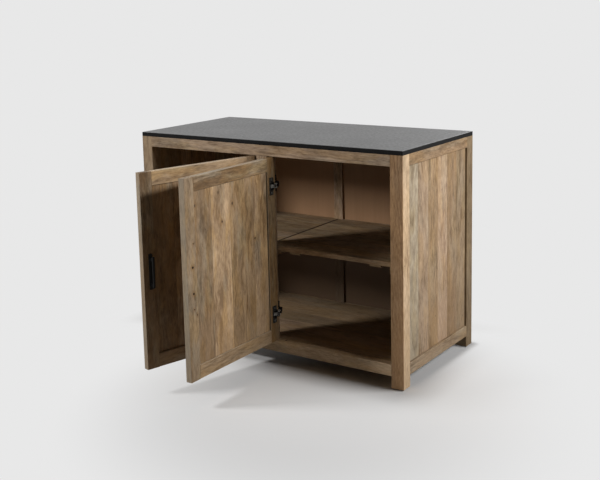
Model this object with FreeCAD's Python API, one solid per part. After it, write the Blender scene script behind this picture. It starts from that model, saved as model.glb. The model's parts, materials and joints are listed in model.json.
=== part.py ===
import FreeCAD, Part
import math
import os

# Corner kitchen base cabinet, in millimetres.
# +X runs right along the front, +Y to the back, +Z up.
# The origin is on the floor under the middle of the carcass.
# The pieces of the right half are made first and mirrored for the left half.
# Both doors hang on the centre post and are modelled shut, then swung open to their rest angles.

# Overall size
width = 1250.0
depth = 600.0
height = 900.0

# Stone worktop
worktop_thick = 17.0
worktop_ease = 1.5

# Frame of posts and rails
post_size = 52.0
centre_post_deep = 60.0
rail_thick = 35.0
side_rail_thick = 30.0
top_rail_high = 43.0
bottom_rail_high = 45.0
rail_above_floor = 49.0
back_stile_wide = 44.0
edge_round = 1.5

# Mortise and tenon joints
tenon_thick = 14.0
tenon_shoulder = 8.0
tenon_wall = 28.0
stub_tenon = 10.0
fit_clear = 0.2

# Panels in grooves
side_panel_thick = 14.0
side_panel_recess = 8.0
side_planks = 6
tongue_thick = 6.0
tongue_long = 6.0
back_panel_thick = 5.0
back_panel_recess = 10.0
plank_ease = 0.6

# Floor and shelf
board_thick = 18.0
board_clear = 1.0
floor_planks = 5
shelf_top = 477.0
shelf_setback = 28.0
shelf_seam = 6.0
shelf_planks = 5
batten_wide = 48.0
batten_thick = 9.0
batten_from_seam = 126.0
batten_from_post = 84.0
batten_setback = 6.0
cleat_wide = 20.0
cleat_high = 28.0
floor_cleat_high = 18.0
bearer_wide = 40.0
bearer_high = 32.0
corner_block_arm = 50.0
corner_block_high = 30.0

# Wood screws in the cleats
cleat_screw_radius = 2.2
cleat_screw_head = 4.2
cleat_screw_grip = 18.0
cleat_head_deep = 2.4
floor_screw_inset = 90.0

# Feet
glide_radius = 20.0
glide_high = 4.0
glide_stem_radius = 4.0
glide_stem_long = 16.0

# Doors
door_thick = 25.0
door_gap = 2.5
door_member = 52.0
door_recess_out = 8.0
door_recess_in = 3.0
door_tenon_thick = 8.0
door_tenon_long = 30.0
door_plank_widths = [86, 54, 92, 112, 94]
door_edge_round = 2.0
left_rest_angle = 75.0
right_rest_angle = 90.0

# Concealed hinges
hinge_from_end = 112.0
axis_from_face = 6.0
axis_from_edge = 7.5
hinge_running_clear = 2.0
cup_from_edge = 22.0
cup_radius = 17.3
cup_hole_clear = 0.2
cup_deep = 11.5
cup_wall = 1.0
flange_thick = 1.2
flange_radius = 18.8
wing_wide = 26.0
wing_high = 70.0
wing_offset = 5.5
cup_screw_spacing = 52.0
cup_screw_radius = 1.7
cup_screw_head = 3.6
cup_screw_long = 14.0
screw_head_thick = 1.4
link_wall = 3.0
link_high = 16.0
link_lip = 1.1
slide_clear = 0.4
bow_wall = 2.5
bow_start_angle = 30.0
bow_end_angle = 95.0
bow_foot_angle = 6.0
bow_foot_thick = 3.0
link_share = 0.4
arm_long = 22.0
arm_deep = 16.0
arm_high = 22.0
arm_tail_deep = 13.0
arm_tail_high = 16.0
arm_back_wall = 5.0
plate_thick = 2.0
plate_high = 66.0
plate_screw_spacing = 48.0
plate_screw_radius = 2.0
plate_screw_head = 3.8
plate_screw_long = 16.0
arm_screw_radius = 2.6

# Handles
handle_height = 467.0
handle_from_edge = 31.0
handle_long = 134.0
handle_wide = 16.0
handle_plate_thick = 3.0
handle_projection = 22.0
handle_hole_spacing = 96.0
grip_wide = 10.0
grip_thick = 6.0
grip_long = 118.0
handle_post_long = 12.0
handle_round = 1.2
handle_bolt_radius = 2.0
handle_bolt_head = 3.8
handle_bolt_slot = 1.0
handle_bolt_recess = 3.0
handle_bolt_thread = 8.0

# Levels and planes that several pieces share
half_width = width / 2
front = -depth / 2
back = depth / 2
worktop_under = height - worktop_thick
opening_top = worktop_under - top_rail_high
opening_bottom = rail_above_floor + bottom_rail_high
post_in_x = half_width - post_size
post_in_front = front + post_size
post_in_back = back - post_size
rail_in_front = front + rail_thick
rail_in_back = back - rail_thick
side_rail_in = half_width - side_rail_thick
side_rail_mid = half_width - side_rail_thick / 2
centre_half = post_size / 2
centre_post_back = front + centre_post_deep
tenon_long = post_size - tenon_wall
panel_out = half_width - side_panel_recess
panel_in = panel_out - side_panel_thick
back_panel_front = rail_in_back + back_panel_recess
floor_under = opening_bottom - board_thick
shelf_under = shelf_top - board_thick
shelf_front = front + shelf_setback

# Hinge axis of the right door, and the reach of the door's inner corner about it
door_edge = centre_half + door_gap
door_free = post_in_x - door_gap
door_low = opening_bottom + door_gap
door_high = opening_top - door_gap
door_in = front + door_thick
axis_x = door_edge + axis_from_edge
axis_y = front + axis_from_face
hinge_heights = [door_low + hinge_from_end, door_high - hinge_from_end]
corner_reach = math.hypot(axis_from_edge, door_thick - axis_from_face)
link_inner = corner_reach + hinge_running_clear
link_outer = link_inner + link_wall
bow_inner = link_outer + slide_clear
bow_outer = bow_inner + bow_wall
arm_near = corner_reach + hinge_running_clear * 0.75
arm_front = axis_y + arm_near
arm_back = arm_front + arm_deep
plate_face = centre_half + plate_thick

origin = FreeCAD.Vector(0, 0, 0)
x_axis = FreeCAD.Vector(1, 0, 0)
y_axis = FreeCAD.Vector(0, 1, 0)
z_axis = FreeCAD.Vector(0, 0, 1)


def block(x, y, z):
    """A box between two limits on each axis."""
    size = [limits[1] - limits[0] for limits in (x, y, z)]
    return Part.makeBox(*size, FreeCAD.Vector(x[0], y[0], z[0]))


def grown(limits, clear=fit_clear):
    """Limits opened by a clearance at both ends."""
    return (limits[0] - clear, limits[1] + clear)


def about(middle, size):
    """Limits of a size set evenly about a middle."""
    return (middle - size / 2, middle + size / 2)


def eased(solid, direction, radius=edge_round):
    """Rounds the straight edges of a box that run along one direction."""
    edges = [edge for edge in solid.Edges if abs(edge.tangentAt(edge.FirstParameter).dot(direction)) > 0.99]
    return solid.makeFillet(radius, edges)


def rod(start, direction, length, radius):
    """A round bar from a point along a direction."""
    return Part.makeCylinder(radius, length, FreeCAD.Vector(*start), direction)


def mirrored(shape):
    """The same piece on the left half of the cabinet."""
    return shape.mirror(origin, x_axis)


def plank_joints(limits, widths):
    """The places of the joints between planks of the given relative widths."""
    scale = (limits[1] - limits[0]) / sum(widths)
    return [limits[0] + scale * sum(widths[:index]) for index in range(1, len(widths))]


def planked(panel, axis, joints):
    """Cuts a board into the planks that it is glued up from."""
    box = panel.BoundBox
    z = (box.ZMin, box.ZMax)
    edges = [box.YMin if axis == "y" else box.XMin] + joints + [box.YMax if axis == "y" else box.XMax]
    planks = []
    for limits in zip(edges, edges[1:]):
        x = (box.XMin, box.XMax) if axis == "y" else limits
        y = limits if axis == "y" else (box.YMin, box.YMax)
        planks += panel.common(block(x, y, z)).Solids
    return planks


def grooved(planks, grooves):
    """Planks with fine V grooves run along their joints."""
    return Part.makeCompound([plank.cut(grooves) for plank in planks])


def v_groove(start, along, length, across):
    """A square bar on its corner, half of which cuts a V into a face."""
    up = along.cross(across)
    start = FreeCAD.Vector(*start)
    corners = [start + side * plank_ease for side in (across, up, -across, -up)]
    wire = Part.makePolygon(corners + corners[:1])
    return Part.Face(wire).extrude(along * length)


def sector(inner, outer, start, end, z):
    """Part of a ring about the hinge axis, between two angles from +X."""
    tall = z[1] - z[0]
    base = FreeCAD.Vector(axis_x, axis_y, z[0])
    ring = Part.makeCylinder(outer, tall, base, z_axis, end - start)
    ring = ring.cut(Part.makeCylinder(inner, tall, base, z_axis))
    return ring.rotate(base, z_axis, start)


def save(name, shape):
    """Writes one named piece, or a group of like pieces."""
    shape.exportStep("parts/" + name + ".step")


# Tenons of the rails, as limits on each axis, on the right half
rail_levels = {"top": (opening_top, worktop_under), "bottom": (rail_above_floor, opening_bottom)}
front_rail_y = (front, rail_in_front)
back_rail_y = (rail_in_back, back)


def rail_tenon(y, z, clear=0.0):
    """The tenon of a front or back rail in the right-hand post."""
    middle = (y[0] + y[1]) / 2
    high = (z[0] + tenon_shoulder, z[1] - tenon_shoulder)
    reach = (post_in_x, post_in_x + tenon_long + clear)
    return block(reach, grown(about(middle, tenon_thick), clear), grown(high, clear))


def side_tenon(end, z, clear=0.0):
    """The tenon of a right-hand side rail in the front or back post."""
    high = (z[0] + tenon_shoulder, z[1] - tenon_shoulder)
    if end == "front":
        reach = (post_in_front - tenon_long - clear, post_in_front)
    else:
        reach = (post_in_back, post_in_back + tenon_long + clear)
    return block(grown(about(side_rail_mid, tenon_thick), clear), reach, grown(high, clear))


def stub(x, y, z, clear=0.0):
    """A short tenon, or with a clearance the mortise that it stands in."""
    return block(grown(x, clear), grown(y, clear), grown(z, clear))


# Short tenons of the centre post, the back stile and the bearers
post_stub_x = about(0, tenon_thick)
post_stub_y = about((front + rail_in_front) / 2, tenon_thick)
stile_stub_y = about((rail_in_back + back) / 2, tenon_thick)
stub_low = (opening_bottom - stub_tenon, opening_bottom)
stub_high = (opening_top, opening_top + stub_tenon)
bearer_x = about(0, bearer_wide)
bearer_stub_x = about(0, bearer_wide - 2 * tenon_shoulder)
shelf_bearer_z = (shelf_under - bearer_high, shelf_under)
shelf_bearer_stub_z = (shelf_bearer_z[0] + tenon_shoulder, shelf_bearer_z[1] - tenon_shoulder)
floor_bearer_z = (rail_above_floor, floor_under)
floor_bearer_stub_z = (floor_bearer_z[0] + tenon_shoulder, floor_bearer_z[1] - tenon_shoulder)
top_bearer_z = (opening_top, worktop_under)
top_bearer_stub_z = (opening_top + stub_tenon + tenon_shoulder, worktop_under - tenon_shoulder)

# Panel tongues
side_tongue_x = about((panel_in + panel_out) / 2, tongue_thick)
back_panel_y = (back_panel_front, back_panel_front + back_panel_thick)
side_field_y = (post_in_front, post_in_back)
field_z = (opening_bottom, opening_top)
side_groove = block(grown(side_tongue_x), grown(side_field_y, tongue_long + fit_clear),
                    grown(field_z, tongue_long + fit_clear))
back_groove = block((back_stile_wide / 2 - tongue_long - fit_clear, post_in_x + tongue_long + fit_clear),
                    grown(back_panel_y), grown(field_z, tongue_long + fit_clear))


def worktop():
    """The stone slab, flush with the posts, with eased arrises."""
    slab = block((-half_width, half_width), (front, back), (worktop_under, height))
    return slab.makeFillet(worktop_ease, slab.Edges)


def corner_post(end):
    """A right-hand corner post with its mortises, panel grooves and the bore for its foot."""
    y = (front, post_in_front) if end == "front" else (post_in_back, back)
    rail_y = front_rail_y if end == "front" else back_rail_y
    post = eased(block((post_in_x, half_width), y, (glide_high, worktop_under)), z_axis)
    cuts = [side_groove]
    for z in rail_levels.values():
        cuts += [rail_tenon(rail_y, z, fit_clear), side_tenon(end, z, fit_clear)]
    if end == "back":
        cuts.append(back_groove)
    middle = (half_width - post_size / 2, (y[0] + y[1]) / 2, glide_high)
    cuts.append(rod(middle, z_axis, glide_stem_long, glide_stem_radius))
    for end_y in (post_in_front - cleat_wide / 2, post_in_back + cleat_wide / 2):
        cuts.append(rod((post_in_x, end_y, shelf_under - cleat_high / 2), x_axis, cleat_screw_grip,
                        cleat_screw_radius))
    return post.cut(cuts)


def foot_glides():
    """Four round glides, each on a stem in the end of a post."""
    glides = []
    for x in (-1, 1):
        for y in (-1, 1):
            middle = (x * (half_width - post_size / 2), y * (back - post_size / 2))
            pad = rod((*middle, 0), z_axis, glide_high, glide_radius)
            pad = pad.makeFillet(edge_round, [pad.Edges[2]])
            stem = rod((*middle, glide_high), z_axis, glide_stem_long, glide_stem_radius)
            glides.append(pad.fuse(stem).removeSplitter())
    return Part.makeCompound(glides)


def long_rail(end, level):
    """A front or back rail with a tenon in each corner post and mortises for what it carries."""
    y = front_rail_y if end == "front" else back_rail_y
    z = rail_levels[level]
    rail = eased(block((-post_in_x, post_in_x), y, z), x_axis)
    tenon = rail_tenon(y, z)
    rail = rail.fuse([tenon, mirrored(tenon)]).removeSplitter()
    stub_z = stub_high if level == "top" else stub_low
    stub_y = post_stub_y if end == "front" else stile_stub_y
    cuts = [stub(post_stub_x, stub_y, stub_z, fit_clear)]
    bearer_z = top_bearer_stub_z if level == "top" else floor_bearer_stub_z
    reach = (rail_in_front - stub_tenon, rail_in_front) if end == "front" else (rail_in_back, rail_in_back + stub_tenon)
    cuts.append(stub(bearer_stub_x, reach, bearer_z, fit_clear))
    if end == "back":
        cuts += [back_groove, mirrored(back_groove)]
    if level == "bottom":
        cuts += floor_cleat_screw_shapes(end)
    return rail.cut(cuts)


def side_rail(level):
    """A right-hand side rail with a tenon in the front and the back post."""
    z = rail_levels[level]
    rail = eased(block((side_rail_in, half_width), side_field_y, z), y_axis)
    rail = rail.fuse([side_tenon("front", z), side_tenon("back", z)]).removeSplitter()
    return rail.cut(side_groove)


def centre_post():
    """The post that both doors hang on, tenoned between the front rails."""
    post = eased(block((-centre_half, centre_half), (front, centre_post_back), field_z), z_axis)
    stubs = [stub(post_stub_x, post_stub_y, z) for z in (stub_low, stub_high)]
    post = post.fuse(stubs).removeSplitter()
    cuts = [stub(bearer_stub_x, (centre_post_back - stub_tenon, centre_post_back), shelf_bearer_stub_z, fit_clear)]
    for shape in plate_screw_shapes():
        cuts += [shape, mirrored(shape)]
    return post.cut(cuts)


def back_stile():
    """The upright in the middle of the back frame."""
    x = about(0, back_stile_wide)
    stile = eased(block(x, back_rail_y, field_z), z_axis)
    stubs = [stub(post_stub_x, stile_stub_y, z) for z in (stub_low, stub_high)]
    stile = stile.fuse(stubs).removeSplitter()
    mortise = stub(bearer_stub_x, (rail_in_back, rail_in_back + stub_tenon), shelf_bearer_stub_z, fit_clear)
    return stile.cut([mortise, back_groove, mirrored(back_groove)])


def back_panel():
    """The thin board in the right half of the back frame."""
    x = (back_stile_wide / 2 - tongue_long, post_in_x + tongue_long)
    return block(x, back_panel_y, grown(field_z, tongue_long))


def side_panel():
    """The right-hand side panel of upright planks, tongued into the frame all round."""
    field = block((panel_in, panel_out), side_field_y, field_z)
    tongue = block(side_tongue_x, grown(side_field_y, tongue_long), grown(field_z, tongue_long))
    joints = plank_joints(side_field_y, [1] * side_planks)
    planks = planked(field.fuse(tongue).removeSplitter(), "y", joints)
    field_high = field_z[1] - field_z[0]
    grooves = [v_groove((x, y, field_z[0]), z_axis, field_high, y_axis)
               for y in joints for x in (panel_in, panel_out)]
    return grooved(planks, grooves)


def bearer(y, z, stub_z):
    """A rail from front to back under the middle, with a short tenon at each end."""
    bar = eased(block(bearer_x, y, z), y_axis)
    ends = [stub(bearer_stub_x, (y[0] - stub_tenon, y[0]), stub_z),
            stub(bearer_stub_x, (y[1], y[1] + stub_tenon), stub_z)]
    return bar.fuse(ends).removeSplitter()


def plank_board(board, x, y, count, level):
    """A level board of planks that run from side to side, grooved along its upper joints."""
    joints = plank_joints(y, [1] * count)
    grooves = [v_groove((x[0], place, level), x_axis, x[1] - x[0], y_axis) for place in joints]
    return grooved(planked(board, "y", joints), grooves)


def floor_boards():
    """The floor of planks, level with the bottom rails and notched round the posts."""
    x = (-side_rail_in + board_clear, side_rail_in - board_clear)
    y = (rail_in_front + board_clear, rail_in_back - board_clear)
    floor = block(x, y, (floor_under, opening_bottom))
    cuts = []
    for side in (-1, 1):
        notch_x = sorted((side * (post_in_x - board_clear), side * half_width))
        cuts.append(block(notch_x, (front, post_in_front + board_clear), (floor_under, opening_bottom)))
        cuts.append(block(notch_x, (post_in_back - board_clear, back), (floor_under, opening_bottom)))
    return plank_board(floor.cut(cuts), x, y, floor_planks, opening_bottom)


def floor_cleat_limits(end):
    """The limits of the right-hand cleat on a bottom rail."""
    x = (bearer_wide / 2 + board_clear, post_in_x - board_clear)
    y = (rail_in_front, rail_in_front + cleat_wide) if end == "front" else (rail_in_back - cleat_wide, rail_in_back)
    return x, y, (floor_under - floor_cleat_high, floor_under)


def countersunk(start, direction, through):
    """A screw whose head lies level with the face that it starts from."""
    head = rod(start, direction, cleat_head_deep, cleat_screw_head)
    return head.fuse(rod(start, direction, through + cleat_screw_grip, cleat_screw_radius)).removeSplitter()


def floor_cleat_screw_shapes(end):
    """The screws that hold both cleats of one bottom rail."""
    x, y, z = floor_cleat_limits(end)
    start = y[1] if end == "front" else y[0]
    direction = -y_axis if end == "front" else y_axis
    screws = [countersunk((place, start, (z[0] + z[1]) / 2), direction, cleat_wide)
              for place in (x[0] + floor_screw_inset, x[1] - floor_screw_inset)]
    return screws + [mirrored(screw) for screw in screws]


def floor_cleats():
    """Four cleats on the bottom rails, under the floor."""
    cleats = []
    for end in ("front", "back"):
        cleat = eased(block(*floor_cleat_limits(end)), x_axis)
        for piece in (cleat, mirrored(cleat)):
            cleats.append(piece.cut(floor_cleat_screw_shapes(end)))
    return Part.makeCompound(cleats)


def shelf_cleat_screw_shapes():
    """The screws through the right-hand shelf cleat into the posts."""
    start_x = post_in_x - cleat_wide
    return [countersunk((start_x, y, shelf_under - cleat_high / 2), x_axis, cleat_wide)
            for y in (post_in_front - cleat_wide / 2, post_in_back + cleat_wide / 2)]


def shelf_cleat():
    """The right-hand cleat under the shelf, screwed to the front and back posts."""
    y = (post_in_front - cleat_wide, post_in_back + cleat_wide)
    cleat = eased(block((post_in_x - cleat_wide, post_in_x), y, (shelf_under - cleat_high, shelf_under)), y_axis)
    return cleat.cut(shelf_cleat_screw_shapes())


def cleat_screws():
    """All the screws of the shelf and floor cleats."""
    screws = []
    for screw in shelf_cleat_screw_shapes():
        screws += [screw, mirrored(screw)]
    for end in ("front", "back"):
        screws += floor_cleat_screw_shapes(end)
    return Part.makeCompound(screws)


def shelf():
    """The right half of the shelf, notched round the posts, with its front edge eased."""
    z = (shelf_under, shelf_top)
    x = (shelf_seam / 2, panel_in - board_clear)
    y = (shelf_front, back_panel_front - board_clear)
    board = eased(block(x, y, z), x_axis)
    cuts = [block((post_in_x - board_clear, half_width), (front, post_in_front + board_clear), z),
            block((post_in_x - board_clear, half_width), (post_in_back - board_clear, back), z),
            block((0, centre_half + board_clear), (front, centre_post_back + board_clear), z),
            block((0, back_stile_wide / 2 + board_clear), (rail_in_back - board_clear, back), z)]
    return plank_board(board.cut(cuts), x, y, shelf_planks, shelf_top)


def shelf_battens():
    """The battens that keep the planks of both shelf halves flat, two under each."""
    y = (shelf_front + batten_setback, rail_in_back - batten_setback)
    z = (shelf_under - batten_thick, shelf_under)
    battens = []
    for middle in (batten_from_seam, post_in_x - batten_from_post):
        batten = eased(block(about(middle, batten_wide), y, z), y_axis)
        battens += [batten, mirrored(batten)]
    return Part.makeCompound(battens)


def corner_blocks():
    """Four glued blocks that brace the posts to the top rails."""
    z = worktop_under - corner_block_high
    corner = [(post_in_x - corner_block_arm, rail_in_front), (post_in_x, rail_in_front),
              (post_in_x, post_in_front), (side_rail_in, post_in_front),
              (side_rail_in, post_in_front + corner_block_arm)]
    points = [FreeCAD.Vector(x, y, z) for x, y in corner]
    wire = Part.makePolygon(points + points[:1])
    front_right = Part.Face(wire).extrude(z_axis * corner_block_high)
    back_right = front_right.mirror(origin, y_axis)
    return Part.makeCompound([front_right, back_right, mirrored(front_right), mirrored(back_right)])


# Right door, shut
door_x = (door_edge, door_free)
door_y = (front, door_in)
door_z = (door_low, door_high)
door_panel_y = (front + door_recess_out, door_in - door_recess_in)
door_tongue_y = about((door_panel_y[0] + door_panel_y[1]) / 2, tongue_thick)
door_tenon_y = about((door_panel_y[0] + door_panel_y[1]) / 2, door_tenon_thick)
door_field_x = (door_edge + door_member, door_free - door_member)
door_field_z = (door_low + door_member, door_high - door_member)
door_groove = block(grown(door_field_x, tongue_long + fit_clear), grown(door_tongue_y),
                    grown(door_field_z, tongue_long + fit_clear))
door_rail_z = {"top": (door_field_z[1], door_high), "bottom": (door_low, door_field_z[0])}
handle_x = door_free - handle_from_edge
bolt_heights = [handle_height - handle_hole_spacing / 2, handle_height + handle_hole_spacing / 2]
cup_x = door_edge + cup_from_edge


def door_tenon(side, level, clear=0.0):
    """A tenon of a door rail, reaching into one of the stiles."""
    z = door_rail_z[level]
    high = (z[0] + tenon_shoulder, z[1] - tenon_shoulder)
    if side == "hinge":
        x = (door_field_x[0] - door_tenon_long - clear, door_field_x[0])
    else:
        x = (door_field_x[1], door_field_x[1] + door_tenon_long + clear)
    return block(x, grown(door_tenon_y, clear), grown(high, clear))


def door_stile(side):
    """An upright of the door frame, bored for the hinge cups or for the handle's bolts."""
    x = (door_edge, door_field_x[0]) if side == "hinge" else (door_field_x[1], door_free)
    stile = eased(block(x, door_y, door_z), z_axis, door_edge_round)
    cuts = [door_groove] + [door_tenon(side, level, fit_clear) for level in door_rail_z]
    if side == "hinge":
        for z in hinge_heights:
            hole_start = (cup_x, door_in - cup_deep, z)
            cuts.append(rod(hole_start, y_axis, cup_deep, cup_radius + cup_hole_clear))
        cuts += cup_screw_shapes()
    else:
        cuts += handle_bolt_shapes()
    return stile.cut(cuts)


def door_rail(level):
    """A cross-piece of the door frame with a tenon at each end."""
    rail = eased(block(door_field_x, door_y, door_rail_z[level]), x_axis, door_edge_round)
    rail = rail.fuse([door_tenon("hinge", level), door_tenon("handle", level)]).removeSplitter()
    return rail.cut(door_groove)


def door_panel():
    """The door's panel of upright planks, tongued into its frame."""
    field = block(door_field_x, door_panel_y, door_field_z)
    tongue = block(grown(door_field_x, tongue_long), door_tongue_y, grown(door_field_z, tongue_long))
    joints = plank_joints(door_field_x, door_plank_widths)
    planks = planked(field.fuse(tongue).removeSplitter(), "x", joints)
    field_high = door_field_z[1] - door_field_z[0]
    grooves = [v_groove((x, y, door_field_z[0]), z_axis, field_high, x_axis)
               for x in joints for y in door_panel_y]
    return grooved(planks, grooves)


def handle():
    """The iron pull: a back plate, two posts and a flat grip, tapped for two bolts."""
    z = about(handle_height, handle_long)
    face = (front - handle_plate_thick, front)
    plate = eased(block(about(handle_x, handle_wide), face, z), y_axis, handle_round)
    grip_y = (front - handle_projection, front - handle_projection + grip_thick)
    grip = block(about(handle_x, grip_wide), grip_y, about(handle_height, grip_long))
    grip = grip.makeFillet(handle_round * 2, grip.Edges)
    posts = [block(about(handle_x, grip_wide - 2 * handle_round), (grip_y[1] - handle_round, face[0]),
                   about(level, handle_post_long)) for level in bolt_heights]
    pull = plate.fuse(posts + [grip]).removeSplitter()
    return pull.cut(handle_bolt_shapes())


def handle_bolt_shapes():
    """The bolts through the stile into the handle, with heads sunk in the inner face."""
    bolts = []
    for z in bolt_heights:
        head_y = door_in - handle_bolt_recess
        head = rod((handle_x, door_in, z), -y_axis, handle_bolt_recess, handle_bolt_head)
        reach = head_y - front + handle_plate_thick + handle_bolt_thread
        bolts.append(head.fuse(rod((handle_x, head_y, z), -y_axis, reach, handle_bolt_radius)).removeSplitter())
    return bolts


def handle_bolts():
    """The bolts as they are made: the head stands low in its counterbore and has a driver slot."""
    bolts = []
    for z, hole in zip(bolt_heights, handle_bolt_shapes()):
        sunk = rod((handle_x, door_in, z), -y_axis, handle_bolt_recess / 3, handle_bolt_head)
        slot = block(about(handle_x, handle_bolt_head * 2), (door_in - handle_bolt_recess / 1.5, door_in),
                     about(z, handle_bolt_slot))
        bolts.append(hole.cut([sunk, slot]))
    return Part.makeCompound(bolts)


def cup_screw_shapes():
    """The screws that hold the hinge cups in the stile."""
    screws = []
    for hinge_z in hinge_heights:
        for z in about(hinge_z, cup_screw_spacing):
            face = door_in + flange_thick
            head = rod((cup_x + wing_offset, face, z), y_axis, screw_head_thick, cup_screw_head)
            shank = rod((cup_x + wing_offset, face, z), -y_axis, cup_screw_long, cup_screw_radius)
            screws.append(head.fuse(shank).removeSplitter())
    return screws


def hinge_cup(hinge_z):
    """A pressed cup with its flange and the curved bow that slides in the hinge link."""
    start = (cup_x, door_in - cup_deep, hinge_z)
    cup = rod(start, y_axis, cup_deep, cup_radius)
    wing_z = about(hinge_z, wing_high)
    flange = rod((cup_x, door_in, hinge_z), y_axis, flange_thick, flange_radius)
    wings = block(about(cup_x + wing_offset, wing_wide), (door_in, door_in + flange_thick), wing_z)
    hollow_start = (cup_x, door_in - cup_deep + cup_wall, hinge_z)
    hollow = rod(hollow_start, y_axis, cup_deep + flange_thick, cup_radius - cup_wall)
    shell = cup.fuse([flange, eased(wings, y_axis, edge_round * 2)]).cut(hollow)
    bow_high = link_high - 2 * link_lip - 2 * slide_clear
    bow_z = about(hinge_z, bow_high)
    bow = sector(bow_inner, bow_outer, bow_start_angle, bow_end_angle, bow_z)
    foot_y = axis_y + bow_outer * math.sin(math.radians(bow_start_angle + bow_foot_angle))
    foot_x = axis_x + bow_inner * math.cos(math.radians(bow_start_angle + bow_foot_angle))
    foot = block((foot_x + bow_wall / 2, cup_x + cup_radius), about(foot_y, bow_foot_thick), bow_z)
    shape = shell.fuse([bow, foot.common(cup)]).removeSplitter()
    return shape.cut(cup_screw_shapes())


# Angles of the link when the door is shut, from the cup's floor to the closed end of the arm
cup_floor = door_thick - axis_from_face - cup_deep + cup_wall
link_start = math.degrees(math.asin((cup_floor + slide_clear * 2) / link_inner))
arm_closed_x = axis_x - plate_face - cup_wall
link_end = math.degrees(math.acos(-(arm_closed_x - slide_clear) / bow_outer))


def hinge_link(hinge_z):
    """The curved channel between the cup's bow and the arm."""
    web = sector(link_inner, link_outer, link_start, link_end, about(hinge_z, link_high))
    lips = []
    for side in (-1, 1):
        edge = hinge_z + side * link_high / 2
        lip_z = tuple(sorted((edge, edge - side * link_lip)))
        lips.append(sector(link_outer - slide_clear, bow_outer, link_start, link_end, lip_z))
    return web.fuse(lips).removeSplitter()


def hinge_arm(hinge_z):
    """The arm on the post: a channel open towards the door, with a tail for its clamping screw."""
    body = eased(block((plate_face, plate_face + arm_long), (arm_front, arm_back), about(hinge_z, arm_high)),
                 x_axis)
    tail = block((plate_face, plate_face + arm_tail_deep), (arm_back - edge_round, centre_post_back),
                 about(hinge_z, arm_tail_high))
    channel_end = arm_back - arm_back_wall
    channel = block((plate_face + cup_wall, plate_face + arm_long + edge_round), (arm_front - edge_round, channel_end),
                    grown(about(hinge_z, link_high), slide_clear))
    arm = body.fuse(tail).removeSplitter().cut(channel)
    return arm.cut(arm_screw(hinge_z))


def arm_screw(hinge_z):
    """The clamping screw in the tail of an arm."""
    middle_y = (arm_back + centre_post_back) / 2
    return rod((plate_face, middle_y, hinge_z), x_axis, arm_tail_deep + screw_head_thick, arm_screw_radius)


def hinge_plate(hinge_z):
    """The mounting plate on the side of the centre post."""
    plate = block((centre_half, plate_face), (arm_front, centre_post_back), about(hinge_z, plate_high))
    return eased(plate, x_axis, edge_round * 2).cut(plate_screw_shapes())


def plate_screw_shapes():
    """The screws of the right-hand mounting plates, with a head on each."""
    screws = []
    middle_y = (arm_front + centre_post_back) / 2
    for hinge_z in hinge_heights:
        for z in about(hinge_z, plate_screw_spacing):
            head = rod((plate_face, middle_y, z), x_axis, screw_head_thick, plate_screw_head)
            shank = rod((plate_face, middle_y, z), -x_axis, plate_screw_long, plate_screw_radius)
            screws.append(head.fuse(shank).removeSplitter())
    return screws


def both_hinges(make):
    """The same hinge piece at the lower and the upper hinge."""
    return Part.makeCompound([make(z) for z in hinge_heights])


def swung(shape, side, angle):
    """A right-hand piece on the hinge axis of its own side, opened by an angle."""
    placed = mirrored(shape) if side == "left" else shape.copy()
    sign = -1 if side == "left" else 1
    return placed.rotate(FreeCAD.Vector(sign * axis_x, axis_y, 0), z_axis, -sign * angle)


os.makedirs("parts", exist_ok=True)

middle_pieces = {
    "worktop": worktop(),
    "post_centre": centre_post(),
    "back_stile": back_stile(),
    "floor_boards": floor_boards(),
    "floor_cleats": floor_cleats(),
    "floor_bearer": bearer((rail_in_front, rail_in_back), floor_bearer_z, floor_bearer_stub_z),
    "top_bearer": bearer((rail_in_front, rail_in_back), top_bearer_z, top_bearer_stub_z),
    "shelf_bearer": bearer((centre_post_back, rail_in_back), shelf_bearer_z, shelf_bearer_stub_z),
    "shelf_battens": shelf_battens(),
    "corner_blocks": corner_blocks(),
    "cleat_screws": cleat_screws(),
    "foot_glides": foot_glides(),
}
for end in ("front", "back"):
    for level in rail_levels:
        middle_pieces["rail_" + end + "_" + level] = long_rail(end, level)
for name, shape in middle_pieces.items():
    save(name, shape)

side_pieces = {
    "post_front": corner_post("front"),
    "post_back": corner_post("back"),
    "rail_side_top": side_rail("top"),
    "rail_side_bottom": side_rail("bottom"),
    "side_panel": side_panel(),
    "back_panel": back_panel(),
    "shelf": shelf(),
    "shelf_cleat": shelf_cleat(),
    "hinge_arms": both_hinges(hinge_arm),
    "hinge_plates": both_hinges(hinge_plate),
    "hinge_plate_screws": Part.makeCompound(plate_screw_shapes() + [arm_screw(z) for z in hinge_heights]),
}
for name, shape in side_pieces.items():
    save(name + "_right", shape)
    save(name + "_left", mirrored(shape))

door_pieces = {
    "door_hinge_stile": door_stile("hinge"),
    "door_handle_stile": door_stile("handle"),
    "door_top_rail": door_rail("top"),
    "door_bottom_rail": door_rail("bottom"),
    "door_panel": door_panel(),
    "handle": handle(),
    "handle_bolts": handle_bolts(),
    "hinge_cups": both_hinges(hinge_cup),
    "hinge_cup_screws": Part.makeCompound(cup_screw_shapes()),
}
rest_angles = {"left": left_rest_angle, "right": right_rest_angle}
for side, angle in rest_angles.items():
    for name, shape in door_pieces.items():
        save(name + "_" + side, swung(shape, side, angle))
    save("hinge_links_" + side, swung(both_hinges(hinge_link), side, angle * link_share))
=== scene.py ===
import json
import math

import bmesh
import bpy
from mathutils import Matrix, Vector

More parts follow.
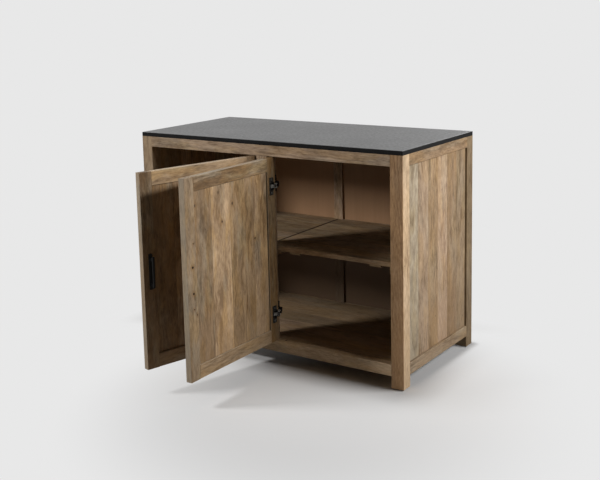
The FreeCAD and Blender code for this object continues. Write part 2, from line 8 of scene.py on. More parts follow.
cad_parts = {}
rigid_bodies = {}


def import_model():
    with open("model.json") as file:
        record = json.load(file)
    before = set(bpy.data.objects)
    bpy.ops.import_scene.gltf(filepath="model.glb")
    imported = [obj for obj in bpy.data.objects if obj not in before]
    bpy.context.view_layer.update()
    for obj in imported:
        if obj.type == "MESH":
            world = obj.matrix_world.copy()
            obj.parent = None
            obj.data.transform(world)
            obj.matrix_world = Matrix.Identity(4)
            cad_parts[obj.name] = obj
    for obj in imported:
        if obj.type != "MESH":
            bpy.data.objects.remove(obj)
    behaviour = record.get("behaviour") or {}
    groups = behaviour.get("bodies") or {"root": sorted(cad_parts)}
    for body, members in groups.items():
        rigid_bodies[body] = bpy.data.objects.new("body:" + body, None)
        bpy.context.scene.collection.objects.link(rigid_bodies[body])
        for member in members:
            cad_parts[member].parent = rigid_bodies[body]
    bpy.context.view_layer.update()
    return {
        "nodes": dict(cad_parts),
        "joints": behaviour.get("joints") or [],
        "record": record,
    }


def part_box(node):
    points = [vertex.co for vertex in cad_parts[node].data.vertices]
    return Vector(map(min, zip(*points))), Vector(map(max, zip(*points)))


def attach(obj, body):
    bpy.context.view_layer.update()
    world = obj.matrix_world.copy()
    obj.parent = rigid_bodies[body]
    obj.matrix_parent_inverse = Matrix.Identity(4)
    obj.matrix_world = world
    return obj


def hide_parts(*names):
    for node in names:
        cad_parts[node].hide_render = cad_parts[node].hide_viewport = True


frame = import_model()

# Corner kitchen cabinet of weathered timber with a dark stone worktop, in metres.
# +X runs right along the front, +Y to the back, +Z up, as in the frame.

nodes = frame["nodes"]
hinges = {joint["child"]: joint for joint in frame["joints"]}
SIDES = ("left", "right")

# Places taken from the frame
shelf_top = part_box("shelf_right")[1].z
board_middle = sum(corner.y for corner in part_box("back_panel_right")) / 2
board_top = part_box("back_panel_right")[1].z
worktop_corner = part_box("worktop")[1]

# The photograph's camera
picture_wide = 600
picture_high = 480
camera_place = (2.2812, -3.3886, 1.4351)
camera_azimuth = 34.181
camera_pitch = 9.105
camera_roll = -1.252
focal_pixels = 991.59
axis_row = 160

# Planks of the panels, as relative widths, and the number of boards in the level pieces
side_plank_widths = [1, 1, 1, 1, 1, 1]
door_plank_widths = [86, 54, 92, 112, 94]
level_boards = {"floor_boards": 5, "shelf_left": 5, "shelf_right": 5}

# Sizes of the panels; every plank is a bar of the template's width, stretched to its own
panel_thick = 0.014
tongue_long = 0.006
tongue_thick = 0.006
panel_shrink = 0.0015
hinge_side_shrink = 0.0055
plank_gap = 0.0003
plank_ease = 0.0007
plank_wander = 0.0012
plank_rings = 48
template_wide = 0.1

# Seeds, and the steps that keep the figures of pieces and planks apart
side_seed = 11
door_seed = 21
panel_draw_step = 1.3
piece_draw_step = 1.7
plank_draw_step = 3.7
wander_draw_step = 5.3
log_spread = (17.0, 23.0, 31.0)


def srgb(red, green, blue):
    """A colour given as it looks on a screen, 0 to 255, in the linear form that the nodes use."""
    shares = [value / 255 for value in (red, green, blue)]
    linear = [s / 12.92 if s <= 0.04045 else ((s + 0.055) / 1.055) ** 2.4 for s in shares]
    return (*linear, 1.0)


# Tones of the timber
fawn = srgb(176, 150, 125)
dove = srgb(164, 150, 129)
rose = srgb(166, 143, 119)
honey = srgb(158, 132, 101)
umber = srgb(146, 121, 93)
straw = srgb(196, 170, 139)
clay = srgb(152, 131, 106)
nut = srgb(134, 109, 80)
bark = srgb(128, 101, 67)
drift = srgb(123, 104, 78)
sand = srgb(170, 145, 115)
wheat = srgb(182, 154, 122)
side_tones = [dove, rose, honey, fawn, umber, clay]
door_tones = {"right": [wheat, honey, honey, wheat, umber], "left": [nut, umber, honey, umber, nut]}
board_tones = [sand, fawn, clay, sand, clay]
common_tones = [clay, honey, rose, clay, umber]
piece_tones = {
    "post_front_right": straw,
    "post_back_right": drift,
    "rail_side_top_right": umber,
    "rail_side_bottom_right": clay,
    "rail_front_top": rose,
    "rail_front_bottom": straw,
    "door_handle_stile_right": clay,
    "door_hinge_stile_right": bark,
    "door_top_rail_right": nut,
    "door_bottom_rail_right": sand,
    "door_handle_stile_left": nut,
    "door_bottom_rail_left": nut,
    "door_top_rail_left": sand,
    "back_stile": fawn,
}

# Washes that a timber's colour is multiplied by
dark_grain = (0.50, 0.45, 0.39, 1.0)
pale_grain = (1.28, 1.28, 1.28, 1.0)
warm_patch = (1.03, 0.95, 0.74, 1.0)
# Arrises rubbed lighter: wear, and a painted highlight
rubbed_arris_highlight = (1.25, 1.25, 1.25, 1.0)
# The next wash is painted shade on front faces
front_shade_wash = (0.64, 0.51, 0.38, 1.0)

# Colours of age and dirt on the timber, and of painted light and shade on it
weathered_dark = srgb(92, 82, 66)
weathered_pale = srgb(172, 161, 140)
knot_halo = srgb(124, 92, 54)
knot_heart = srgb(70, 47, 31)
worm_hole = srgb(56, 39, 27)
mark_halo = srgb(122, 88, 48)
mark_heart = srgb(62, 42, 28)
# Pale grey of the doors' narrow sides: weathering, and painted light
limed_and_lit = srgb(214, 202, 182)
# Painted shade in the panels' grooves
groove_shade = srgb(34, 26, 19)
# Painted shade in the shelf's seam
seam_shade = srgb(46, 36, 26)
# Painted shade under the shelf
shelf_shade = srgb(70, 54, 38)

# Scales of the timber's figure, in repeats per metre across, through and along the grain
sway_scale = (10.0, 10.0, 6.0)
broad_scale = (15.0, 15.0, 4.5)
mottle_scale = (40.0, 40.0, 14.0)
fibre_scale = (270.0, 270.0, 40.0)
pore_scale = (1500.0, 1500.0, 55.0)
ring_fade_scale = (12.0, 12.0, 4.0)
grey_scale = (16.0, 16.0, 4.0)
warm_scale = (22.0, 22.0, 6.0)
stain_scale = (26.0, 26.0, 10.0)
knot_scale = (9.0, 2.0, 6.0)
hole_scale = (42.0, 8.0, 26.0)

# Reaches of the figure: how far the grain sways, where the pith lies, how far the rings bend with the
# broad patches and round a knot, and how many of the scattered places have a knot or a hole
sway_reach = 0.03
ring_pitch = 0.013
pith_spread = 0.12
pith_deep_least, pith_deep_spread = 0.02, 0.07
lean_spread = 0.2
ring_wave = 0.04
ring_bulge = 0.008
knot_share = 0.4
knot_girth_least, knot_girth_spread = 0.025, 0.05
hole_share = 0.07

# How far each layer of the figure lightens or darkens the timber
middle_tone = 0.57
broad_weight = 1.2
mottle_weight = 1.3
fibre_weight = 1.6
ring_weight = -0.45
pore_weight = -0.25

# How strong the figure is: rings, knots and grey weathering on every piece, and how far the colour
# varies along a piece, by the start of its name, where that isn't 1
ring_strength = 1.0
knot_strength = 0.5
weather_strength = 0.35
patchiness = {
    "post_": 0.35,
    "side_panel": 0.85,
    "door_panel": 1.3,
    "door_top_rail": 1.4,
    "door_handle_stile": 1.3,
}

# Where age, dirt and painted light and shade lie on the timber, as depths, heights and fade distances
wear_reach = 0.003
wear_and_highlight_share = 0.4
wear_scale = 90.0
wear_ragged_least, wear_ragged_spread = -0.003, 0.008
limed_and_lit_share = 0.4
limed_start, limed_full = 0.0015, 0.0002
front_shade_start, front_shade_full = 0.003, 0.0004
grime_start, grime_full = 0.5, 0.08
seam_start, seam_full = 0.007, 0.0045
groove_fade = 0.0012
shelf_shade_deep = 0.06
# Front faces darkened and browned by painted shade, and how far on each piece
front_face_shade = {"post_front_right": 0.9, "shelf_right": 0.45}
# Pieces that carry painted shade under the shelf
shaded_under_shelf = ("back_stile",)

# Marks on the right door's inner face: distance from the hinge edge, height over the floor, half width
# and half length; halo and heart reach as far out as a number of those half sizes
mark_scale = 160.0
mark_ragged = 0.006
mark_halo_start, mark_halo_full = 3.2, 0.9
mark_heart_start, mark_heart_full = 1.1, 0.5
door_marks = {
    "door_panel_right": [
        (0.486, 0.733, 0.006, 0.007),
        (0.335, 0.646, 0.005, 0.006),
        (0.272, 0.703, 0.005, 0.008),
        (0.137, 0.542, 0.006, 0.005),
        (0.197, 0.318, 0.0016, 0.022),
        (0.199, 0.286, 0.002, 0.014),
    ],
    "door_handle_stile_right": [
        (0.511, 0.361, 0.004, 0.004),
        (0.496, 0.338, 0.003, 0.005),
        (0.503, 0.6, 0.003, 0.003),
        # The next two, round the handle's bolts, are painted shade of the bolt holes
        (0.511, 0.419, 0.006, 0.006),
        (0.511, 0.515, 0.006, 0.006),
    ],
}

# The stone, and the brown board with painted shade on its inner face, from the shelf's top and its own
stone_dark = srgb(13, 13, 13)
stone_pale = srgb(28, 27, 27)
stone_fleck = srgb(92, 92, 94)
honed_start, honed_full = 0.0015, 0.0004
board_dark = srgb(156, 119, 86)
board_pale = srgb(180, 141, 105)
board_cloud = srgb(150, 112, 80)
board_shade = srgb(76, 60, 44)
board_face_fade = 0.001
low_shade_start, low_shade_full = 0.01, -0.08
top_shade_start, top_shade_full = -0.1, -0.03

# Depths of the finest surface, for bumps alone
grain_deep = 0.0006
grit_deep = 0.0002
figure_deep = 0.0002
scuff_deep = 0.0002
scratch_deep = 0.0001

# The stage: a pale cove all round, lit and shadowed near the cabinet, and the lights' common target
cove_flat_rings = (1.5, 3.2)
cove_flat = 5.0
cove_bend = 2.5
cove_high = 7.0
cove_steps = 12
cove_turns = 96
paper = (0.78, 0.78, 0.78, 1.0)
paper_glow = srgb(232, 232, 232)
bounce_near = (0.5, 0.5, 0.5, 1.0)
bounce_far = (0.1, 0.1, 0.1, 1.0)
bounce_start, bounce_full = 0.6, 1.5
lit_centre = (0.45, -0.55, 0.0)
lit_reach, glow_reach = 0.35, 1.0
shadow_reach, shadow_full = 0.3, 0.02
shadow_behind, shadow_behind_full = 0.12, 0.3
under_reach = 0.04
under_share = 0.9
light_target = Vector((0.0, -0.1, 0.45))


# Node helpers

def fill(tree, node, inputs):
    """Fills a node's sockets with values or links."""
    for socket, value in inputs.items():
        if isinstance(value, bpy.types.NodeSocket):
            tree.links.new(value, node.inputs[socket])
        else:
            node.inputs[socket].default_value = value


def add(tree, kind, inputs=None, **settings):
    """Adds a node, sets its properties, then fills its sockets."""
    node = tree.nodes.new(kind)
    for name, value in settings.items():
        setattr(node, name, value)
    fill(tree, node, inputs or {})
    return node


def calc(tree, operation, *values):
    """One step of arithmetic on numbers."""
    return add(tree, "ShaderNodeMath", dict(enumerate(values)), operation=operation).outputs[0]


def vector(tree, operation, *values):
    """One step of arithmetic on vectors."""
    return add(tree, "ShaderNodeVectorMath", dict(enumerate(values)), operation=operation).outputs[0]


def measure(tree, operation, *values):
    """A number worked out from vectors, such as a length."""
    node = add(tree, "ShaderNodeVectorMath", dict(enumerate(values)), operation=operation)
    return node.outputs["Value"]


def ramp(tree, value, start, end, low=0.0, high=1.0):
    """A smooth step from low to high as a value goes from start to end."""
    inputs = {"Value": value, "From Min": start, "From Max": end, "To Min": low, "To Max": high}
    return add(tree, "ShaderNodeMapRange", inputs, interpolation_type="SMOOTHSTEP").outputs[0]


def blend(tree, amount, first, second, mode="MIX"):
    """One colour laid over another."""
    inputs = {0: amount, 6: first, 7: second}
    return add(tree, "ShaderNodeMix", inputs, data_type="RGBA", blend_type=mode).outputs[2]


def laid(tree, colour, coat, mask, share):
    """A colour with a coat over it where a mask says, up to a share."""
    return blend(tree, calc(tree, "MULTIPLY", mask, share), colour, coat)


def washed(tree, colour, wash):
    """A colour multiplied by a wash."""
    return blend(tree, 1.0, colour, wash, "MULTIPLY")


def varied(tree, base, layer, weight):
    """A value that a cloudy layer raises and lowers."""
    return calc(tree, "MULTIPLY_ADD", calc(tree, "SUBTRACT", layer, 0.5), weight, base)


def noise(tree, place, scale, detail=2.0, rough=0.5):
    """A cloudy value; the scale is a number, or one for each direction."""
    if not isinstance(scale, (int, float)):
        place = vector(tree, "MULTIPLY", place, scale)
        scale = 1.0
    inputs = {"Vector": place, "Scale": scale, "Detail": detail, "Roughness": rough}
    return add(tree, "ShaderNodeTexNoise", inputs).outputs[0]


def cells(tree, place, scale):
    """Distance to the nearest of many scattered points, and that point's own random colour."""
    place = vector(tree, "MULTIPLY", place, scale)
    node = add(tree, "ShaderNodeTexVoronoi", {"Vector": place, "Scale": 1.0})
    return node.outputs["Distance"], node.outputs["Color"]


def split(tree, value):
    """The three parts of a vector or colour."""
    return add(tree, "ShaderNodeSeparateXYZ", {0: value}).outputs


def join(tree, x, y, z):
    """A vector from three numbers."""
    return add(tree, "ShaderNodeCombineXYZ", {0: x, 1: y, 2: z}).outputs[0]


def bump(tree, height, distance, strength=1.0):
    """A normal from a height."""
    inputs = {"Height": height, "Distance": distance, "Strength": strength}
    return add(tree, "ShaderNodeBump", inputs).outputs[0]


def new_group(name, kind, inputs, outputs):
    """An empty node group with named sockets."""
    tree = bpy.data.node_groups.new(name, kind)
    for label, socket in inputs.items():
        tree.interface.new_socket(label, in_out="INPUT", socket_type="NodeSocket" + socket)
    for label, socket in outputs.items():
        tree.interface.new_socket(label, in_out="OUTPUT", socket_type="NodeSocket" + socket)
    return tree, add(tree, "NodeGroupInput").outputs


def place_group(tree, group, inputs):
    """A node group placed in a material or in another group."""
    return add(tree, tree.bl_idname.replace("Tree", "Group"), inputs, node_tree=group).outputs


# Shared effects

def knots(tree, log, strength):
    """Masks of the knots and of the halos round them; only some of the scattered places have one."""
    gap, fate = cells(tree, log, knot_scale)
    fates = split(tree, fate)
    kept = calc(tree, "GREATER_THAN", calc(tree, "MULTIPLY", strength, knot_share), fates[0])
    own_girth = calc(tree, "MULTIPLY_ADD", fates[1], knot_girth_spread, knot_girth_least)
    girth = calc(tree, "DIVIDE", gap, own_girth)
    knot = calc(tree, "MULTIPLY", kept, ramp(tree, girth, 1.0, 0.4))
    halo = calc(tree, "MULTIPLY", kept, ramp(tree, girth, 5.0, 0.8))
    return knot, halo


def worm_holes(tree, log, strength):
    """A mask of small dark holes."""
    gap, fate = cells(tree, log, hole_scale)
    share = calc(tree, "MULTIPLY", strength, hole_share)
    kept = calc(tree, "GREATER_THAN", share, split(tree, fate)[0])
    return calc(tree, "MULTIPLY", kept, ramp(tree, gap, 0.11, 0.05))


def growth_rings(tree, place, chance, sway, bend):
    """Rings round a pith that lies beside the plank, a little askew, as its own draw says."""
    spot = split(tree, place)
    draw = split(tree, chance)
    pith_across = calc(tree, "MULTIPLY_ADD", draw[0], pith_spread, -pith_spread / 2)
    pith_deep = calc(tree, "MULTIPLY_ADD", draw[1], pith_deep_spread, pith_deep_least)
    lean = calc(tree, "MULTIPLY_ADD", draw[2], lean_spread, -lean_spread / 2)
    across = calc(tree, "SUBTRACT", calc(tree, "ADD", spot[0], sway), pith_across)
    deep = calc(tree, "ADD", calc(tree, "MULTIPLY_ADD", spot[2], lean, spot[1]), pith_deep)
    squares = [calc(tree, "MULTIPLY", side, side) for side in (across, deep)]
    radius = calc(tree, "SQRT", calc(tree, "ADD", *squares))
    turns = calc(tree, "MULTIPLY", calc(tree, "ADD", radius, bend), 2 * math.pi / ring_pitch)
    wave = calc(tree, "SINE", turns)
    return calc(tree, "POWER", calc(tree, "MULTIPLY_ADD", wave, 0.5, 0.5), 2.0)


def timber_figure():
    """Mottles, grain, growth rings, knots, stains and grey weathering of a sawn plank.

    Place is measured from the plank's middle: across, through and along the grain. Level is the height
    over the floor. Patches is how far the colour varies along the plank.
    """
    inputs = {"Place": "Vector", "Level": "Float", "Tint": "Color", "Piece": "Float", "Rings": "Float",
              "Knots": "Float", "Weather": "Float", "Patches": "Float"}
    outputs = {"Color": "Color", "Roughness": "Float", "Height": "Float"}
    tree, given = new_group("timber figure", "ShaderNodeTree", inputs, outputs)
    chance = add(tree, "ShaderNodeTexWhiteNoise", {"W": given["Piece"]},
                 noise_dimensions="1D").outputs["Color"]
    log = vector(tree, "ADD", given["Place"], vector(tree, "MULTIPLY", chance, log_spread))
    sway = calc(tree, "MULTIPLY_ADD", noise(tree, log, sway_scale), sway_reach, -sway_reach / 2)
    log = vector(tree, "ADD", log, join(tree, sway, 0.0, 0.0))
    broad = noise(tree, log, broad_scale, detail=3.0)
    mottle = noise(tree, log, mottle_scale, detail=4.0, rough=0.62)
    fibre = noise(tree, log, fibre_scale, detail=3.0, rough=0.6)
    pores = ramp(tree, noise(tree, log, pore_scale), 0.6, 0.72)
    knot, halo = knots(tree, log, given["Knots"])
    holes = worm_holes(tree, log, given["Knots"])
    bend = calc(tree, "ADD", calc(tree, "MULTIPLY", broad, ring_wave),
                calc(tree, "MULTIPLY", halo, ring_bulge))
    rings = growth_rings(tree, given["Place"], chance, sway, bend)
    faint = ramp(tree, noise(tree, log, ring_fade_scale), 0.42, 0.66)
    lines = calc(tree, "MULTIPLY", calc(tree, "MULTIPLY", rings, faint), given["Rings"])

    tone = varied(tree, middle_tone, broad, calc(tree, "MULTIPLY", given["Patches"], broad_weight))
    tone = varied(tree, tone, mottle, mottle_weight)
    tone = varied(tree, tone, fibre, fibre_weight)
    tone = calc(tree, "MULTIPLY_ADD", lines, ring_weight, tone)
    tone = calc(tree, "MULTIPLY_ADD", pores, pore_weight, tone)
    dark = washed(tree, given["Tint"], dark_grain)
    colour = blend(tree, tone, dark, washed(tree, given["Tint"], pale_grain))

    grey = blend(tree, tone, weathered_dark, weathered_pale)
    greyed = calc(tree, "MULTIPLY", given["Weather"], given["Patches"])
    patch = ramp(tree, noise(tree, log, grey_scale, detail=3.0, rough=0.6), 0.47, 0.66)
    colour = laid(tree, colour, grey, patch, greyed)
    warmth = ramp(tree, noise(tree, log, warm_scale, detail=3.0, rough=0.6), 0.44, 0.6, high=0.6)
    colour = laid(tree, colour, washed(tree, colour, warm_patch), warmth, given["Patches"])
    stain = ramp(tree, noise(tree, log, stain_scale, detail=4.0, rough=0.65), 0.56, 0.72)
    stain = calc(tree, "MULTIPLY", calc(tree, "MULTIPLY", stain, given["Patches"]), 0.6)
    low = ramp(tree, given["Level"], grime_start, grime_full)
    grime = calc(tree, "MULTIPLY", calc(tree, "MULTIPLY", low, ramp(tree, mottle, 0.3, 0.6)), 0.4)
    colour = blend(tree, calc(tree, "MAXIMUM", stain, grime), colour, dark)
    colour = laid(tree, colour, knot_halo, halo, 0.35)
    colour = laid(tree, colour, knot_heart, knot, 0.85)
    colour = laid(tree, colour, worm_hole, holes, 0.8)

    rough = calc(tree, "MULTIPLY_ADD", mottle, -0.25, 0.78)
    height = calc(tree, "MULTIPLY_ADD", fibre, 0.5, calc(tree, "MULTIPLY", lines, 0.3))
    height = calc(tree, "MULTIPLY_ADD", pores, -0.5, height)
    height = calc(tree, "MULTIPLY_ADD", holes, -1.2, height)
    add(tree, "NodeGroupOutput", {"Color": colour, "Roughness": rough, "Height": height})
    return tree


def arris_wear():
    """A mask along the arrises of a squared piece, broken up as wear is; it carries wear and a painted
    highlight.
    """
    inputs = {"Place": "Vector", "Low": "Vector", "High": "Vector", "Reach": "Float"}
    tree, given = new_group("arris wear", "ShaderNodeTree", inputs, {"Mask": "Float"})
    inside = vector(tree, "MINIMUM", vector(tree, "SUBTRACT", given["Place"], given["Low"]),
                    vector(tree, "SUBTRACT", given["High"], given["Place"]))
    x, y, z = split(tree, inside)
    nearest = calc(tree, "MINIMUM", calc(tree, "MINIMUM", x, y), z)
    farthest = calc(tree, "MAXIMUM", calc(tree, "MAXIMUM", x, y), z)
    total = calc(tree, "ADD", calc(tree, "ADD", x, y), z)
    second = calc(tree, "SUBTRACT", calc(tree, "SUBTRACT", total, nearest), farthest)
    broken = noise(tree, given["Place"], wear_scale, detail=4.0)
    ragged = calc(tree, "MULTIPLY_ADD", broken, wear_ragged_spread, wear_ragged_least)
    edge = ramp(tree, calc(tree, "ADD", second, ragged), given["Reach"], 0.0)
    add(tree, "NodeGroupOutput", {"Mask": edge})
    return tree


figure = timber_figure()
wear = arris_wear()


# Materials

def empty_material(name):
    """A new material and its empty tree."""
    material = bpy.data.materials.new(name)
    material.use_nodes = True
    material.node_tree.nodes.clear()
    return material, material.node_tree


def finish(name, **sockets):
    """A new material: its tree, its shader with fixed sockets, and the Object coordinates."""
    material, tree = empty_material(name)
    fixed = {key.replace("_", " "): value for key, value in sockets.items()}
    shader = add(tree, "ShaderNodeBsdfPrincipled", fixed)
    add(tree, "ShaderNodeOutputMaterial", {"Surface": shader.outputs[0]})
    return material, tree, shader, add(tree, "ShaderNodeTexCoord").outputs["Object"]


def shut_turn(side):
    """The turn that carries a door's pieces from their rest pose to the shut door."""
    joint = hinges[side + "_door"]
    pin = Matrix.Translation(joint["pos_m"])
    angle = math.radians(joint["range_deg"][0]) * joint["axis"][2]
    return pin @ Matrix.Rotation(angle, 4, "Z") @ pin.inverted()


def box_in(node, turn):
    """The lowest and highest corner of a node after a turn."""
    points = [turn @ vertex.co for vertex in node.data.vertices]
    low = Vector([min(point[axis] for point in points) for axis in range(3)])
    high = Vector([max(point[axis] for point in points) for axis in range(3)])
    return low, high


def grain_frame(node, turn, along=None):
    """The turn that measures a piece from its middle, width on X and grain on Z, and its half size."""
    low, high = box_in(node, turn)
    size = high - low
    through, across, longest = sorted(range(3), key=lambda axis: size[axis])
    if along is not None and along != longest:
        across, longest = longest, along
    picks = (across, through, longest)
    axes = Matrix([[float(axis == pick) for axis in range(3)] for pick in picks])
    if axes.determinant() < 0:
        axes[0] = -axes[0]
    to_grain = axes.to_4x4() @ Matrix.Translation(-(low + high) / 2) @ turn
    half = Vector([size[pick] / 2 for pick in picks])
    return to_grain, half


def tone_choice(tree, number, tones):
    """Picks one of several tones by a plank's number."""
    share = calc(tree, "DIVIDE", calc(tree, "ADD", number, 0.5), float(len(tones)))
    choice = add(tree, "ShaderNodeValToRGB", {"Fac": share})
    steps = choice.color_ramp.elements
    choice.color_ramp.interpolation = "CONSTANT"
    while len(steps) < len(tones):
        steps.new(1.0)
    for index, tone in enumerate(tones):
        steps[index].position = index / len(tones)
        steps[index].color = tone
    return choice.outputs[0]


def patch_share(name):
    """How far a piece's colour varies along its length."""
    for start, share in patchiness.items():
        if name.startswith(start):
            return share
    return 1.0


def glued_plank(tree, spot):
    """The number of a glued panel's plank and the place in it, from the panel's own attributes."""
    number = add(tree, "ShaderNodeAttribute", attribute_name="plank").outputs["Fac"]
    middle = add(tree, "ShaderNodeAttribute", attribute_name="plank_middle").outputs["Fac"]
    return number, vector(tree, "SUBTRACT", spot, join(tree, middle, 0.0, 0.0))


def even_plank(tree, spot, half, planks):
    """The number of a plank and the place in it, where planks share a piece's width evenly."""
    across, through, along = split(tree, spot)
    pitch = 2 * half.x / planks
    counted = calc(tree, "DIVIDE", calc(tree, "ADD", across, half.x), pitch)
    inside = calc(tree, "MULTIPLY", calc(tree, "SUBTRACT", calc(tree, "FRACT", counted), 0.5), pitch)
    return calc(tree, "FLOOR", counted), join(tree, inside, through, along)


def shaded_front(tree, name, place, tint):
    """A tint darkened and browned on a piece's front face: painted shade."""
    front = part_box(name)[0].y
    depth = split(tree, place)[1]
    facing = ramp(tree, depth, front + front_shade_start, front + front_shade_full, high=front_face_shade[name])
    return blend(tree, facing, tint, washed(tree, tint, front_shade_wash))


def rubbed_and_highlit_arrises(tree, spot, half, colour):
    """A colour rubbed lighter along a piece's arrises: partly wear, partly a painted highlight."""
    inputs = {"Place": spot, "Low": -half, "High": half, "Reach": wear_reach}
    mask = place_group(tree, wear, inputs)["Mask"]
    return laid(tree, colour, washed(tree, colour, rubbed_arris_highlight), mask, wear_and_highlight_share)


def limed_and_lit_sides(tree, spot, half, share, bare, colour):
    """A colour gone pale and grey on a piece's two narrow sides, by weathering and painted light; bare is
    the colour before any wear.
    """
    aside = calc(tree, "ABSOLUTE", split(tree, spot)[0])
    narrow = ramp(tree, aside, half.x - limed_start, half.x - limed_full, high=share)
    return blend(tree, narrow, colour, blend(tree, 0.6, bare, limed_and_lit))


def shaded_grooves(tree, spot, groove, colour):
    """A colour with painted shade in the grooves, which lie nearer to the piece's middle than its faces.
    """
    depth = calc(tree, "ABSOLUTE", split(tree, spot)[1])
    sunk = ramp(tree, depth, groove + groove_fade, groove, high=0.85)
    return blend(tree, sunk, colour, groove_shade)


def shaded_below_shelf(tree, place, colour):
    """A colour darker under the shelf: painted shade."""
    under = ramp(tree, split(tree, place)[2], shelf_top, shelf_top - shelf_shade_deep, high=0.8)
    return blend(tree, under, colour, shelf_shade)


def shaded_seam(tree, place, colour):
    """A colour with painted shade where the two halves of the shelf meet."""
    aside = calc(tree, "ABSOLUTE", split(tree, place)[0])
    return blend(tree, ramp(tree, aside, seam_start, seam_full, high=0.75), colour, seam_shade)


def marks_on(name, to_grain):
    """The marks of a piece of the right door: their middles in its grain frame, and their half sizes."""
    shut = shut_turn("right")
    edge = box_in(nodes["door_hinge_stile_right"], shut)[0]
    found = []
    for out, level, wide, long in door_marks.get(name, ()):
        middle = shut.inverted() @ Vector((edge.x + out, edge.y, level))
        found.append((to_grain @ middle, wide, long))
    return found


def marked(tree, spot, marks, colour):
    """A colour with ragged dark marks, each in a warm halo."""
    drift_most = Vector((mark_ragged, 0.0, mark_ragged))
    drifted = vector(tree, "MULTIPLY", noise(tree, spot, mark_scale, detail=3.0), drift_most)
    ragged = vector(tree, "ADD", spot, drifted)
    for middle, wide, long in marks:
        apart = vector(tree, "SUBTRACT", ragged, middle + drift_most / 2)
        reach = measure(tree, "LENGTH", vector(tree, "MULTIPLY", apart, (1 / wide, 0.0, 1 / long)))
        halo = ramp(tree, reach, mark_halo_start, mark_halo_full, high=0.45)
        heart = ramp(tree, reach, mark_heart_start, mark_heart_full, high=0.9)
        colour = blend(tree, heart, blend(tree, halo, colour, mark_halo), mark_heart)
    return colour


def timber(name, to_grain, half, tones, planks=1, piece=0.0, edge=0.0, groove=0.0):
    """Timber of one piece: the grain follows its length, and each plank has its own tone and figure.

    With planks=None the planks are told apart by the attributes that the glued panels carry. Edge is how
    far the two narrow sides have gone pale and grey, partly weathering and partly painted light, and
    groove is the depth from the middle under which the grooves carry painted shade.
    """
    material, tree, shader, place = finish("timber " + name, Specular_IOR_Level=0.3)
    turn = {"Location": to_grain.to_translation(), "Rotation": to_grain.to_euler()}
    spot = add(tree, "ShaderNodeMapping", {"Vector": place, **turn}).outputs[0]
    grain_place, number, tint = spot, piece, tones[0]
    if planks != 1:
        known = glued_plank(tree, spot) if planks is None else even_plank(tree, spot, half, planks)
        count, grain_place = known
        tint = tone_choice(tree, count, tones)
        number = calc(tree, "MULTIPLY_ADD", count, plank_draw_step, piece)
    if name in front_face_shade:
        tint = shaded_front(tree, name, place, tint)
    grained = place_group(tree, figure, {
        "Place": grain_place, "Level": split(tree, place)[2], "Tint": tint, "Piece": number,
        "Rings": ring_strength, "Knots": knot_strength, "Weather": weather_strength,
        "Patches": patch_share(name)})
    colour = rubbed_and_highlit_arrises(tree, spot, half, grained["Color"])
    if edge:
        colour = limed_and_lit_sides(tree, spot, half, edge, grained["Color"], colour)
    if groove:
        colour = shaded_grooves(tree, spot, groove, colour)
    if name in shaded_under_shelf:
        colour = shaded_below_shelf(tree, place, colour)
    if name.startswith("shelf_") and planks != 1:
        colour = shaded_seam(tree, place, colour)
    if name in door_marks:
        colour = marked(tree, spot, marks_on(name, to_grain), colour)
    fill(tree, shader, {"Base Color": colour, "Roughness": grained["Roughness"],
                        "Normal": bump(tree, grained["Height"], grain_deep)})
    return material


def black_stone():
    """Black stone with fine pale flecks and soft clouds: honed on top, sawn at the edges."""
    material, tree, shader, place = finish("honed black stone", Specular_IOR_Level=0.06, Coat_IOR=1.38,
                                           Coat_Roughness=0.28)
    cloud = noise(tree, place, 6.0, detail=4.0, rough=0.6)
    crystal = noise(tree, place, 80.0, detail=4.0, rough=0.7)
    grit = noise(tree, place, 900.0)
    gap, fate = cells(tree, place, (420.0, 420.0, 420.0))
    kept = calc(tree, "GREATER_THAN", split(tree, fate)[0], 0.8)
    fleck = calc(tree, "MULTIPLY", kept, ramp(tree, gap, 0.34, 0.16))
    colour = laid(tree, blend(tree, cloud, stone_dark, stone_pale), stone_fleck, fleck, 0.45)
    rough = calc(tree, "MULTIPLY_ADD", cloud, 0.2, 0.45)
    top = worktop_corner.z
    shine = ramp(tree, split(tree, place)[2], top - honed_start, top - honed_full)
    shine = calc(tree, "MULTIPLY", shine, calc(tree, "MULTIPLY_ADD", cloud, 0.4, 0.53))
    shine = calc(tree, "MULTIPLY", shine, calc(tree, "MULTIPLY_ADD", crystal, 1.4, 0.27))
    fill(tree, shader, {"Base Color": colour, "Roughness": rough, "Coat Weight": shine,
                        "Normal": bump(tree, grit, grit_deep, 0.4)})
    return material


def brown_board():
    """The thin brown-faced board of the back, with a faint upright figure.

    Its inner face carries painted shade under the shelf and at the top.
    """
    material, tree, shader, place = finish("brown board", Specular_IOR_Level=0.3)
    upright = noise(tree, place, (60.0, 60.0, 2.5), detail=4.0, rough=0.6)
    cloud = noise(tree, place, 3.0)
    colour = blend(tree, upright, board_dark, board_pale)
    colour = laid(tree, colour, board_cloud, cloud, 0.3)
    depth, level = split(tree, place)[1:]
    inner = ramp(tree, depth, board_middle + board_face_fade, board_middle - board_face_fade)
    low = ramp(tree, level, shelf_top + low_shade_start, shelf_top + low_shade_full, high=0.85)
    colour = laid(tree, colour, board_shade, inner, low)
    upper = ramp(tree, level, board_top + top_shade_start, board_top + top_shade_full, high=0.6)
    colour = laid(tree, colour, board_shade, inner, upper)
    rough = calc(tree, "MULTIPLY_ADD", upright, 0.2, 0.5)
    fill(tree, shader, {"Base Color": colour, "Roughness": rough,
                        "Normal": bump(tree, upright, figure_deep, 0.2)})
    return material


